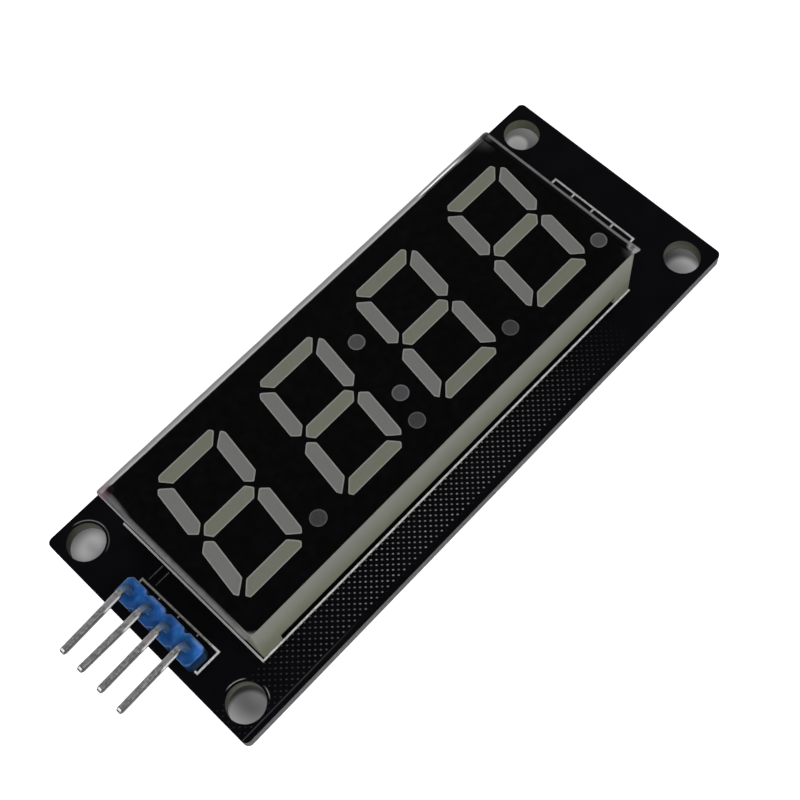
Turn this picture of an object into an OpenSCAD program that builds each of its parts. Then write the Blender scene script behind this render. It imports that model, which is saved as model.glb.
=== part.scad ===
// Four digit seven segment display module: an LED clock display on a small driver board
// with a bent four-way pin header. Millimetres, +Z out of the display face, +X along the
// reading direction. The origin is the centre of the four mounting holes on the board's back.

/* [Board] */
// Length of the circuit board
board_l = 66.9; // [66.4:0.1:72]
// Width of the circuit board
board_w = 27.5; // [26.6:0.1:32]
// Thickness of the circuit board
board_t = 1.6; // [1:0.2:2]
// Radius of the board's corners
corner_r = 0.6; // [0.2:0.1:2]
// Distance between mounting hole centres along the board
hole_span_x = 61.3; // [61:0.1:62]
// Distance between mounting hole centres across the board
hole_span_y = 22.0; // [21.6:0.1:22.4]
// Diameter of the mounting holes
hole_d = 3.8; // [2.8:0.1:4]

/* [Display] */
// Length of the display housing
body_l = 51.0; // [50.6:0.1:51.2]
// Width of the display housing
body_w = 19.3; // [19:0.1:19.5]
// Height of the display housing above the board
body_h = 8.0; // [7.6:0.1:9]
// Gap under the long walls of the housing
wall_gap = 1.4; // [0.4:0.1:1.6]
// Thickness of the housing walls
wall_t = 1.1; // [0.8:0.1:1.2]
// Distance between neighbouring digits
digit_pitch = 12.7; // [12.5:0.1:12.7]
// Lean of the digits in degrees
digit_lean = 7.9; // [6:0.1:10]
// Diameter of the decimal and colon dots
dot_d = 1.66; // [1.2:0.02:1.8]
// Thickness of the protective film
film_t = 0.08; // [0.04:0.02:0.2]

/* [Header] */
// Pin pitch of the header and of the display
pitch = 2.54; // [2.5:0.01:2.54]
// Height of the header's plastic
strip_h = 2.5; // [2:0.1:2.6]
// Side of the square header pins
pin_w = 0.64; // [0.5:0.02:0.64]
// Height of the bent pins' centre above the board
pin_rise = 3.95; // [3.5:0.01:5]
// Reach of the pin tips past the board's edge
pin_reach = 5.7; // [4:0.1:8]

/* [Driver] */
// Length of the driver chip's body
chip_l = 12.8; // [12.4:0.1:13]
// Width of the driver chip's body
chip_w = 7.5; // [7.4:0.1:7.6]
// Height of the driver chip's body
chip_h = 2.25; // [2:0.05:2.4]
// Width across the chip's leads
chip_span = 10.3; // [10:0.1:10.6]

/* [Hidden] */
$fn = 48;
eps = 0.01;
board_cx = 0.2;
board_x0 = board_cx - board_l / 2;
top = board_t;
face_z = top + body_h;

// display frame
disp_x = -1.25;
disp_y = 0.35;
foot_l = 2.35;
foot_w = 2.0;
window_depth = 4.8;
sub_t = 1.0;
sub_top = face_z - window_depth;
recess_l = body_l - 2 * wall_t;
recess_w = body_w - 2 * wall_t;
sub_l = recess_l - 0.3;
sub_w = recess_w - 0.3;
wall_bottom = top + wall_gap;
resin_bottom = wall_bottom + 0.15;
lean = tan(digit_lean);
digit_x = [for (k = [0:3]) disp_x + (k - 1.5) * digit_pitch];
dot_x = 4.96;
dot_y = -6.32;
colon_y = 3.32;
film_over = 0.55;
film_over_end = 0.35;

// display pins: two rows of six
row_y = 3 * pitch;
disp_pin_d = 0.5;
disp_hole_d = 0.9;
disp_tail = 1.4;
disp_pin_xy = [for (s = [-1, 1], k = [0:5])
    [disp_x + (k - 2.5) * pitch, disp_y + s * row_y]];

// header
strip_x = -31.1;
strip_y = -0.5;
block_w = 2.4;
block_cut = 0.36;
pin_y = [for (k = [0:3]) strip_y + (1.5 - k) * pitch];
pin_bend = 0.55;
pin_tail = 1.6;
pin_tip = 0.35;
pin_tip_w = 0.4;
pin_z = top + pin_rise;
pin_end = board_x0 - pin_reach;
pin_hole_d = 1.0;
spare_x = 27.65;
spare_y = -0.65;

// driver chip and its neighbours on the back
pad_t = 0.06;
lead_t = 0.2;
lead_w = 0.4;
lead_foot = 0.8;
lead_pitch = 1.27;
lead_count = 10;
chip_gap = 0.12;
chip_x = -1.25;
chip_y = 0.35;
chip_draft = 0.28;
chip_low = -chip_gap - chip_h;
lead_z = -chip_gap - chip_h / 2;

// chip parts: [x, y] of each, bodies run along Y
cap_size = [1.6, 0.8, 0.8];
res_size = [1.6, 0.8, 0.5];
term_l = 0.35;
cap_xy = [[9.2, 2.6], [9.2, -2.2]];
res_xy = [[-20.5, 2.0], [-20.5, -2.0]];

// ---------------------------------------------------------------- small helpers

module rounded_plate(l, w, h, r) {
    linear_extrude(h) union() {
        square([l - 2 * r, w], center = true);
        square([l, w - 2 * r], center = true);
        for (sx = [-1, 1], sy = [-1, 1])
            translate([sx * (l / 2 - r), sy * (w / 2 - r)]) circle(r);
    }
}

module brick(x0, x1, y0, y1, z0, z1) {
    translate([x0, y0, z0]) cube([x1 - x0, y1 - y0, z1 - z0]);
}

// ---------------------------------------------------------------- segment outlines

// upright outlines about the digit's centre; the lean is added by slanted()
seg_a = [[-3.10, 7.15], [3.10, 7.15], [3.42, 6.70], [2.46, 5.64], [-2.46, 5.64], [-3.42, 6.70]];
seg_b = [[3.84, 6.30], [4.16, 5.84], [4.16, 1.08], [3.38, 0.37], [2.64, 1.06], [2.64, 5.30]];
seg_g = [[-2.48, 0.76], [2.48, 0.76], [3.09, 0.0], [2.48, -0.76], [-2.48, -0.76], [-3.09, 0.0]];

function mirrored(pts, sx, sy) = [for (p = pts) [p[0] * sx, p[1] * sy]];
function slanted(pts) = [for (p = pts) [p[0] + p[1] * lean, p[1]]];

segments = [
    seg_a, seg_b, mirrored(seg_b, 1, -1), mirrored(seg_a, 1, -1),
    mirrored(seg_b, -1, -1), mirrored(seg_b, -1, 1), seg_g
];

// one digit's seven outlines and its decimal dot
module digit_outline() {
    for (s = segments) polygon(slanted(s));
    translate([dot_x, dot_y]) circle(d = dot_d);
}

module colon_outline() {
    for (s = [-1, 1]) translate([s * colon_y * lean, s * colon_y]) circle(d = dot_d);
}

// dice: one per segment and dot; a decimal dot's die sits a little inwards, clear of the wall
die_w = 0.4;
die_h = 0.2;
dot_die_shift = 0.4;
segment_mid = [[0, 6.4], [3.4, 3.35], [3.4, -3.35], [0, -6.4], [-3.4, -3.35], [-3.4, 3.35], [0, 0]];
die_xy = concat(
    [for (x = digit_x, m = segment_mid) [x + m[0] + m[1] * lean, disp_y + m[1]]],
    [for (x = digit_x) [x + dot_x - dot_die_shift, disp_y + dot_y]],
    [for (s = [-1, 1]) [disp_x + s * colon_y * lean, disp_y + s * colon_y]]
);

module dice_solids() {
    for (p = die_xy)
        translate([p[0] - die_w / 2, p[1] - die_w / 2, sub_top]) cube([die_w, die_w, die_h]);
}

// ---------------------------------------------------------------- board

module board_holes() {
    for (sx = [-1, 1], sy = [-1, 1])
        translate([sx * hole_span_x / 2, sy * hole_span_y / 2, -1]) cylinder(d = hole_d, h = 4);
    for (p = disp_pin_xy) translate([p[0], p[1], -1]) cylinder(d = disp_hole_d, h = 4);
    for (k = [0:3]) {
        translate([strip_x, pin_y[k], -1]) cylinder(d = pin_hole_d, h = 4);
        translate([spare_x, spare_y + (k - 1.5) * pitch, -1]) cylinder(d = pin_hole_d, h = 4);
    }
}

module circuit_board() {
    color([0.03, 0.03, 0.035]) difference() {
        translate([board_cx, 0, 0]) rounded_plate(board_l, board_w, board_t, corner_r);
        board_holes();
    }
}

// ---------------------------------------------------------------- display

module display_housing() {
    color([0.45, 0.45, 0.41]) difference() {
        translate([disp_x, disp_y, top]) linear_extrude(body_h) square([body_l, body_w], center = true);
        // rear recess for the inner substrate and its resin
        brick(disp_x - recess_l / 2, disp_x + recess_l / 2, disp_y - recess_w / 2,
            disp_y + recess_w / 2, 0, sub_top);
        // the long walls stop short of the board, between the corner feet
        brick(disp_x - body_l / 2 + foot_l, disp_x + body_l / 2 - foot_l,
            disp_y - body_w, disp_y + body_w, 0, wall_bottom);
        for (x = digit_x) translate([x, disp_y, sub_top])
            linear_extrude(window_depth + 1) digit_outline();
        translate([disp_x, disp_y, sub_top]) linear_extrude(window_depth + 1) colon_outline();
    }
}

module digit_windows(k) {
    color([0.41, 0.41, 0.39]) difference() {
        translate([digit_x[k], disp_y, sub_top]) linear_extrude(window_depth) digit_outline();
        dice_solids();
    }
}

module colon_windows() {
    color([0.3, 0.3, 0.3]) difference() {
        translate([disp_x, disp_y, sub_top]) linear_extrude(window_depth) colon_outline();
        dice_solids();
    }
}

module led_dice() {
    color([0.75, 0.78, 0.85]) dice_solids();
}

module display_substrate() {
    color([0.1, 0.35, 0.2]) difference() {
        translate([disp_x, disp_y, sub_top - sub_t]) linear_extrude(sub_t)
            square([sub_l, sub_w], center = true);
        for (p = disp_pin_xy) translate([p[0], p[1], 0]) cylinder(d = disp_pin_d, h = 2 * face_z);
    }
}

module potting_resin() {
    color([0.75, 0.75, 0.68]) difference() {
        brick(disp_x - recess_l / 2, disp_x + recess_l / 2, disp_y - recess_w / 2,
            disp_y + recess_w / 2, resin_bottom, sub_top);
        translate([disp_x, disp_y, sub_top - sub_t]) linear_extrude(2 * sub_t)
            square([sub_l, sub_w], center = true);
        for (p = disp_pin_xy) translate([p[0], p[1], 0]) cylinder(d = disp_pin_d, h = 2 * face_z);
    }
}

module display_pins() {
    color([0.75, 0.75, 0.76]) for (p = disp_pin_xy)
        translate([p[0], p[1], -disp_tail]) cylinder(d = disp_pin_d, h = disp_tail + sub_top);
}

// clear sheet that overhangs the upper edge and both ends
module protective_film() {
    color([0.8, 0.82, 0.85, 0.3]) brick(
        disp_x - body_l / 2 - film_over, disp_x + body_l / 2 + film_over_end,
        disp_y - body_w / 2, disp_y + body_w / 2 + film_over, face_z, face_z + film_t);
}

// ---------------------------------------------------------------- header

module block_outline() {
    bx = block_w / 2;
    by = pitch / 2;
    polygon([
        [-bx, -by + block_cut], [-bx + block_cut, -by], [bx - block_cut, -by], [bx, -by + block_cut],
        [bx, by - block_cut], [bx - block_cut, by], [-bx + block_cut, by], [-bx, by - block_cut]
    ]);
}

module header_strip() {
    color([0.1, 0.33, 0.65]) difference() {
        for (y = pin_y) translate([strip_x, y, top]) linear_extrude(strip_h) block_outline();
        for (y = pin_y) translate([strip_x - pin_w / 2, y - pin_w / 2, 0]) cube([pin_w, pin_w, 2 * face_z]);
    }
}

// square wire: up through the strip, round a quarter bend, then out past the edge to a tapered tip
module header_pin(k) {
    bend_x = strip_x - pin_bend;
    bend_z = pin_z - pin_bend;
    half = pin_w / 2;
    color([0.8, 0.8, 0.79]) translate([0, pin_y[k], 0]) union() {
        brick(strip_x - half, strip_x + half, -half, half, -pin_tail, bend_z);
        translate([bend_x, 0, bend_z]) rotate([90, 0, 0]) rotate_extrude(angle = 90)
            translate([pin_bend - half, -half]) square(pin_w);
        brick(pin_end + pin_tip, bend_x, -half, half, pin_z - half, pin_z + half);
        hull() {
            translate([pin_end, -pin_tip_w / 2, pin_z - pin_tip_w / 2]) cube([eps, pin_tip_w, pin_tip_w]);
            translate([pin_end + pin_tip - eps, -half, pin_z - half]) cube([eps, pin_w, pin_w]);
        }
    }
}

// ---------------------------------------------------------------- solder

// fills a plated hole and makes a cone round the tail on the back
module joint_profile(hole, base, tip, height) {
    rotate_extrude() polygon([
        [0, board_t], [hole / 2, board_t], [hole / 2, 0], [base, 0],
        [base * 0.78, -height * 0.22], [tip, -height], [0, -height]
    ]);
}

module header_solder() {
    color([0.72, 0.73, 0.74]) difference() {
        for (y = pin_y) translate([strip_x, y, 0]) joint_profile(pin_hole_d, 0.85, 0.5, 1.0);
        for (y = pin_y) translate([strip_x - pin_w / 2, y - pin_w / 2, -5]) cube([pin_w, pin_w, 10]);
    }
}

module display_solder() {
    color([0.72, 0.73, 0.74]) difference() {
        for (p = disp_pin_xy) translate([p[0], p[1], 0]) joint_profile(disp_hole_d, 0.8, 0.34, 0.9);
        for (p = disp_pin_xy) translate([p[0], p[1], -5]) cylinder(d = disp_pin_d, h = 10);
    }
}

// ---------------------------------------------------------------- driver chip

lead_x = [for (k = [0:lead_count - 1]) chip_x + (k - (lead_count - 1) / 2) * lead_pitch];
lead_out = chip_span / 2;
lead_in = chip_w / 2 - chip_draft / 2;

module driver_body() {
    hx = chip_l / 2;
    hy = chip_w / 2;
    mid = chip_h / 2;
    color([0.07, 0.07, 0.075]) translate([chip_x, chip_y, chip_low]) difference() {
        intersection() {
            translate([-chip_l, 0, 0]) rotate([90, 0, 90]) linear_extrude(2 * chip_l) polygon([
                [-hy + chip_draft, 0], [hy - chip_draft, 0], [hy, mid], [hy - chip_draft, chip_h],
                [-hy + chip_draft, chip_h], [-hy, mid]
            ]);
            translate([0, chip_w, 0]) rotate([90, 0, 0]) linear_extrude(2 * chip_w) polygon([
                [-hx + chip_draft, 0], [hx - chip_draft, 0], [hx, mid], [hx - chip_draft, chip_h],
                [-hx + chip_draft, chip_h], [-hx, mid]
            ]);
        }
        // dimple that marks lead one
        translate([-hx + 1.5, hy - 1.5, -eps]) cylinder(d = 1.1, h = 0.12);
        for (s = [-1, 1], x = lead_x) lead_solid(x - chip_x, s, -chip_low, 0);
    }
}

// gull-wing lead, drawn as a profile in Y and Z; s picks the side of the chip
module lead_solid(x, s, z, y) {
    foot_z = -pad_t - lead_t;
    knee = lead_out - lead_foot - 0.25;
    translate([x - lead_w / 2, y, z]) scale([1, s, 1]) rotate([90, 0, 90]) linear_extrude(lead_w)
        polygon([
            [lead_in - 0.9, lead_z + lead_t / 2], [knee + 0.05, lead_z + lead_t / 2],
            [lead_out - lead_foot, -pad_t], [lead_out, -pad_t], [lead_out, foot_z],
            [lead_out - lead_foot + 0.16, foot_z], [knee + 0.21, lead_z - lead_t / 2],
            [lead_in - 0.9, lead_z - lead_t / 2]
        ]);
}

module driver_leads() {
    color([0.78, 0.78, 0.78]) for (s = [-1, 1], x = lead_x) lead_solid(x, s, 0, chip_y);
}

// ---------------------------------------------------------------- chip parts

module chip_body(p, size) {
    translate([p[0] - size[1] / 2, p[1] - size[0] / 2 + term_l, -pad_t - size[2]])
        cube([size[1], size[0] - 2 * term_l, size[2]]);
}

module chip_terminals(p, size) {
    for (s = [-1, 1])
        translate([p[0], p[1] + s * (size[0] - term_l) / 2, -pad_t - size[2] / 2])
            cube([size[1], term_l, size[2]], center = true);
}

module capacitor(k) {
    color([0.62, 0.5, 0.36]) chip_body(cap_xy[k], cap_size);
}

module capacitor_terminals(k) {
    color([0.75, 0.75, 0.75]) chip_terminals(cap_xy[k], cap_size);
}

module resistor(k) {
    color([0.08, 0.08, 0.09]) chip_body(res_xy[k], res_size);
}

module resistor_terminals(k) {
    color([0.75, 0.75, 0.75]) chip_terminals(res_xy[k], res_size);
}

// solder between the pads and what is mounted on the back's surface
module reflow_solder() {
    pad_l = 1.3;
    color([0.72, 0.73, 0.74]) {
        for (s = [-1, 1], x = lead_x)
            translate([x, chip_y + s * (lead_out - lead_foot / 2), -pad_t / 2])
                cube([0.6, pad_l, pad_t], center = true);
        for (p = concat(cap_xy, res_xy), s = [-1, 1])
            translate([p[0], p[1] + s * (cap_size[0] - term_l) / 2, -pad_t / 2])
                cube([0.9, 0.7, pad_t], center = true);
    }
}

// ---------------------------------------------------------------- nodes

circuit_board();
display_housing();
digit_windows(0);  // digit_windows_1
digit_windows(1);  // digit_windows_2
digit_windows(2);  // digit_windows_3
digit_windows(3);  // digit_windows_4
colon_windows();
led_dice();
display_substrate();
potting_resin();
display_pins();
protective_film();
header_strip();
header_pin(0);  // header_pin_1
header_pin(1);  // header_pin_2
header_pin(2);  // header_pin_3
header_pin(3);  // header_pin_4
header_solder();
display_solder();
reflow_solder();
driver_body();
driver_leads();
capacitor(0);  // capacitor_1
capacitor_terminals(0);  // capacitor_1_terminals
capacitor(1);  // capacitor_2
capacitor_terminals(1);  // capacitor_2_terminals
resistor(0);  // resistor_1
resistor_terminals(0);  // resistor_1_terminals
resistor(1);  // resistor_2
resistor_terminals(1);  // resistor_2_terminals
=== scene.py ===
"""Looks, camera and light for the four digit LED display module on its driver board.

Shapes are built in millimetres in the board's frame and turned to metres when a piece is finished.
"""

import math

import bmesh
import bpy
from mathutils import Matrix, Quaternion, Vector


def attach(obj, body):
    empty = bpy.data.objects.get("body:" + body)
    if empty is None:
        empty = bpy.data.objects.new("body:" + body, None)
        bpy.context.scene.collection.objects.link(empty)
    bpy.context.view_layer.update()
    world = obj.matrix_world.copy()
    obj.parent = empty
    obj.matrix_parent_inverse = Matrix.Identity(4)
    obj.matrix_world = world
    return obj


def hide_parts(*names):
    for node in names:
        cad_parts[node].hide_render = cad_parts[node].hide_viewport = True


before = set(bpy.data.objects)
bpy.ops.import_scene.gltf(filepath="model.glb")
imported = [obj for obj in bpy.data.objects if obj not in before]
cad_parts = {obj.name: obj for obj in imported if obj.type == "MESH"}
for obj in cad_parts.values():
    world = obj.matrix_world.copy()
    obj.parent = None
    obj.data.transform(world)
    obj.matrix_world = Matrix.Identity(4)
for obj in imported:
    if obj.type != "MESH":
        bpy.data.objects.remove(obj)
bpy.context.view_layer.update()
scene = bpy.context.scene

MM = 0.001

# board and display, as the solids have them
BOARD_TOP = 1.6
FACE = 9.6
DISPLAY = Vector((-1.25, 0.35))
HALF_L = 25.5
HALF_W = 9.65
CAVITY_FLOOR = 4.8
PITCH = 2.54
LEAN = math.tan(math.radians(7.9))
DIGITS = [DISPLAY.x + (k - 1.5) * 12.7 for k in range(4)]
DOT_RADIUS = 0.83
HOLES = [(sx * 30.65, sy * 11.0) for sx in (-1, 1) for sy in (-1, 1)]
# the bare ring round two of them, painted only in the arcs where it catches the light, a painted highlight:
# start, end and strength
RING_GLINT_ARCS = {(-30.65, 11.0): ((-0.1, 1.4, 0.75), (-1.2, -0.1, 0.35)),
             (-30.65, -11.0): ((0.9, 1.7, 1.0), (-0.6, -0.15, 0.9))}
STRIP = Vector((-31.1, -0.5))
PIN_ROWS_Y = [STRIP.y + (1.5 - k) * PITCH for k in range(4)]
PIN_SKEWS = [(0.17, -0.13), (0.07, 0.04), (0.16, -0.05), (0.08, -0.13)]
SPARE = Vector((27.65, -0.65))
SPARE_ROW = [(SPARE.x, SPARE.y + (k - 1.5) * PITCH) for k in range(4)]
DISPLAY_PINS = [(DISPLAY.x + (k - 2.5) * PITCH, DISPLAY.y + s * 3 * PITCH)
                for s in (-1, 1) for k in range(6)]
REST_Z = -2.37
HATCH_PITCH = 0.514
# decimal dot from the middle of its digit, and the colon's dots from the middle of the display
DECIMAL_DOT = (4.96, -6.32)
COLON_RISE = 3.32
FILM_LOW, FILM_HIGH = Vector((-27.3, -9.3)), Vector((24.6, 10.55))
FILM_THICK = 0.03
# header pins: half their width, radius of the bend, height of the level part and its end
PIN_HALF = 0.32
PIN_BEND = 0.55
PIN_LEVEL = BOARD_TOP + 3.95
PIN_END = -38.95
# underside
LEAD_PITCH = 1.27
LEADS_X = [DISPLAY.x + (k - 4.5) * LEAD_PITCH for k in range(10)]
CAPACITORS = ((9.2, 2.6), (9.2, -2.2))
RESISTORS = ((-20.5, 2.0), (-20.5, -2.0))
# heights of ink, copper tracks and copper pads over the board
PRINT, TRACK, PAD = 0.025, 0.03, 0.035


# ------------------------------------------------------------------ making pieces

def finish_piece(name, bm, material, replaces=(), smooth=False):
    """Turns a mesh in millimetres into a finished piece that rides on the board"""
    bmesh.ops.transform(bm, matrix=Matrix.Scale(MM, 4), verts=bm.verts)
    if smooth:
        for face in bm.faces:
            face.smooth = True
    mesh = bpy.data.meshes.new(name)
    bm.to_mesh(mesh)
    bm.free()
    mesh.materials.append(material)
    piece = bpy.data.objects.new(name, mesh)
    scene.collection.objects.link(piece)
    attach(piece, "root")
    if replaces:
        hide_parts(*replaces)


def join(bm, part):
    """Adds one mesh to another and drops it"""
    mesh = bpy.data.meshes.new("part")
    part.to_mesh(mesh)
    part.free()
    bm.from_mesh(mesh)
    bpy.data.meshes.remove(mesh)


def outward(bm):
    bmesh.ops.recalc_face_normals(bm, faces=bm.faces)
    return bm


def corners_of(made):
    """The corners among what an extrusion made"""
    return [v for v in made["geom"] if isinstance(v, bmesh.types.BMVert)]


def round_corners(bm, verts, width, steps):
    bmesh.ops.bevel(bm, geom=verts, offset=width, segments=steps, profile=0.5, affect="VERTICES", material=-1)


def slab(outline, low, high):
    """A flat plate of any outline"""
    bm = bmesh.new()
    bm.faces.new([bm.verts.new((x, y, low)) for x, y in outline])
    made = bmesh.ops.extrude_face_region(bm, geom=list(bm.faces))
    bmesh.ops.translate(bm, vec=(0, 0, high - low), verts=corners_of(made))
    return outward(bm)


def ease(bm, width, steps=2, pick=None):
    """Rounds the sharp edges of a mesh, or those that pick accepts"""
    edges = [e for e in bm.edges if len(e.link_faces) == 2 and e.calc_face_angle(0) > 0.35]
    if pick:
        edges = [e for e in edges if pick(e)]
    bmesh.ops.bevel(bm, geom=edges, offset=width, segments=steps, profile=0.5, affect="EDGES", material=-1)
    return bm


def block(low, high, edge, steps=2):
    """A bar between two corners with eased edges"""
    corners = [(low[0], low[1]), (high[0], low[1]), (high[0], high[1]), (low[0], high[1])]
    return ease(slab(corners, low[2], high[2]), edge, steps)


def washer(centre, inner, outer, low, high, steps=40):
    """A flat ring, or the lining of a hole"""
    bm = bmesh.new()
    corners = [(inner, low), (outer, low), (outer, high), (inner, high)]
    verts = [bm.verts.new((centre[0] + r, centre[1], z)) for r, z in corners]
    face = bm.faces.new(verts)
    bmesh.ops.spin(bm, geom=[face] + verts + list(face.edges), cent=(centre[0], centre[1], 0),
                   axis=(0, 0, 1), dvec=(0, 0, 0), angle=math.tau, steps=steps, use_merge=True)

    def section(face):
        """Whether this is the section that was spun, left behind inside the ring"""
        middle = face.calc_center_median()
        return abs(face.normal.y) > 0.999 and middle.x - centre[0] > inner and abs(middle.y - centre[1]) < 1e-6

    bmesh.ops.delete(bm, geom=[f for f in bm.faces if section(f)], context="FACES_ONLY")
    return outward(bm)


def turned(profile, centre, steps=32):
    """A round piece spun from (radius, height) points that start and end on the axis"""
    bm = bmesh.new()
    verts = [bm.verts.new((centre[0] + r, centre[1], z)) for r, z in profile]
    edges = [bm.edges.new(pair) for pair in zip(verts, verts[1:])]
    bmesh.ops.spin(bm, geom=verts + edges, cent=(centre[0], centre[1], 0), axis=(0, 0, 1),
                   dvec=(0, 0, 0), angle=math.tau, steps=steps, use_merge=True)
    bmesh.ops.remove_doubles(bm, verts=bm.verts, dist=1e-4)
    return outward(bm)


def bar(start, end, width, low, high):
    """A straight strip of print or track between two points"""
    start, end = Vector(start), Vector(end)
    along = (end - start).normalized() * width / 2
    side = Vector((-along.y, along.x))
    first, last = start - along, end + along
    return slab([first + side, first - side, last - side, last + side], low, high)


def copy_of(node):
    """The solid's own mesh in millimetres, welded, with its flat faces whole again"""
    bm = bmesh.new()
    bm.from_mesh(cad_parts[node].data)
    bmesh.ops.transform(bm, matrix=Matrix.Scale(1 / MM, 4), verts=bm.verts)
    bmesh.ops.remove_doubles(bm, verts=bm.verts, dist=1e-4)
    bmesh.ops.dissolve_limit(bm, angle_limit=0.01, verts=bm.verts, edges=bm.edges)
    return bm


# ------------------------------------------------------------------ shader helpers

def tone(red, green, blue):
    """A colour as it looks on a screen, turned to light"""
    parts = [c / 255 for c in (red, green, blue)]
    return (*[c / 12.92 if c <= 0.04045 else ((c + 0.055) / 1.055) ** 2.4 for c in parts], 1.0)


def grey(level):
    return tone(level, level, level)


class Nodes:
    """Short ways to add nodes to a shader tree"""

    def __init__(self, tree):
        self.tree = tree

    def add(self, kind, inputs=None, **settings):
        node = self.tree.nodes.new("ShaderNode" + kind)
        for key, value in settings.items():
            setattr(node, key, value)
        for key, value in (inputs or {}).items():
            self.feed(node.inputs[key], value)
        return node

    def feed(self, socket, value):
        if isinstance(value, bpy.types.NodeSocket):
            self.tree.links.new(value, socket)
        else:
            socket.default_value = value

    def maths(self, operation, *values):
        node = self.add("Math", operation=operation)
        for socket, value in zip(node.inputs, values):
            self.feed(socket, value)
        return node.outputs[0]

    def plus(self, first, second):
        return self.maths("ADD", first, second)

    def minus(self, first, second):
        return self.maths("SUBTRACT", first, second)

    def times(self, first, second):
        return self.maths("MULTIPLY", first, second)

    def most(self, first, second):
        return self.maths("MAXIMUM", first, second)

    def size(self, value):
        return self.maths("ABSOLUTE", value)

    def away(self, across, along):
        """Distance from a point, given the two offsets"""
        return self.maths("SQRT", self.plus(self.times(across, across), self.times(along, along)))

    def step(self, value, start, end, low=0.0, high=1.0):
        """Goes smoothly from low at start to high at end"""
        node = self.add("MapRange", {"Value": value, "From Min": start, "From Max": end,
                                     "To Min": low, "To Max": high}, interpolation_type="SMOOTHSTEP")
        return node.outputs["Result"]

    def inside(self, value, low, high, soft):
        """1 where value lies between low and high, with soft ends"""
        rise = self.step(value, low - soft, low + soft)
        fall = self.step(value, high - soft, high + soft, 1.0, 0.0)
        return self.times(rise, fall)

    def seen(self):
        """1 for the rays that show a surface: direct, mirrored or passed through"""
        path = self.add("LightPath").outputs
        straight_or_mirrored = self.most(path["Is Camera Ray"], path["Is Glossy Ray"])
        return self.most(straight_or_mirrored, path["Is Transmission Ray"])


class Finish(Nodes):
    """A material. Lengths in its patterns are millimetres."""

    def __init__(self, name, colour, rough, metal=0.0, gloss=0.5):
        self.material = bpy.data.materials.new(name)
        self.material.use_nodes = True
        super().__init__(self.material.node_tree)
        self.shader = self.tree.nodes["Principled BSDF"]
        self.shader.inputs["Base Color"].default_value = colour
        self.shader.inputs["Roughness"].default_value = rough
        self.shader.inputs["Metallic"].default_value = metal
        self.shader.inputs["Specular IOR Level"].default_value = gloss
        coords = self.add("TexCoord").outputs["Object"]
        self.place = self.add("VectorMath", {0: coords, "Scale": 1 / MM}, operation="SCALE").outputs[0]
        self.x, self.y, self.z = self.add("SeparateXYZ", {"Vector": self.place}).outputs

    def noise(self, size, detail, stretch=None):
        """Cloudy noise whose blotches are about size millimetres across"""
        where = self.place
        if stretch:
            where = self.add("VectorMath", {0: self.place, 1: stretch}, operation="MULTIPLY").outputs[0]
        node = self.add("TexNoise", {"Vector": where, "Scale": 1 / size, "Detail": detail})
        return node.outputs["Fac"]

    def mix(self, factor, first, second):
        """The first colour where factor is 0, the second where it is 1"""
        node = self.add("Mix", data_type="RGBA")
        for socket, value in zip((node.inputs[0], node.inputs[6], node.inputs[7]), (factor, first, second)):
            self.feed(socket, value)
        return node.outputs[2]

    def mix_value(self, factor, first, second):
        """The same for plain numbers"""
        node = self.add("Mix", data_type="FLOAT")
        for socket, value in zip((node.inputs[0], node.inputs[2], node.inputs[3]), (factor, first, second)):
            self.feed(socket, value)
        return node.outputs[0]

    def normal(self):
        """The three parts of the surface's direction"""
        return self.add("SeparateXYZ", {"Vector": self.add("NewGeometry").outputs["Normal"]}).outputs

    def colour(self, value):
        self.feed(self.shader.inputs["Base Color"], value)

    def rough(self, value):
        self.feed(self.shader.inputs["Roughness"], value)

    def relief(self, height, depth, strength=1.0):
        """Fine surface relief; depth in millimetres"""
        bump = self.add("Bump", {"Height": height, "Distance": depth * MM, "Strength": strength})
        self.feed(self.shader.inputs["Normal"], bump.outputs["Normal"])


# ------------------------------------------------------------------ materials

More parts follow.
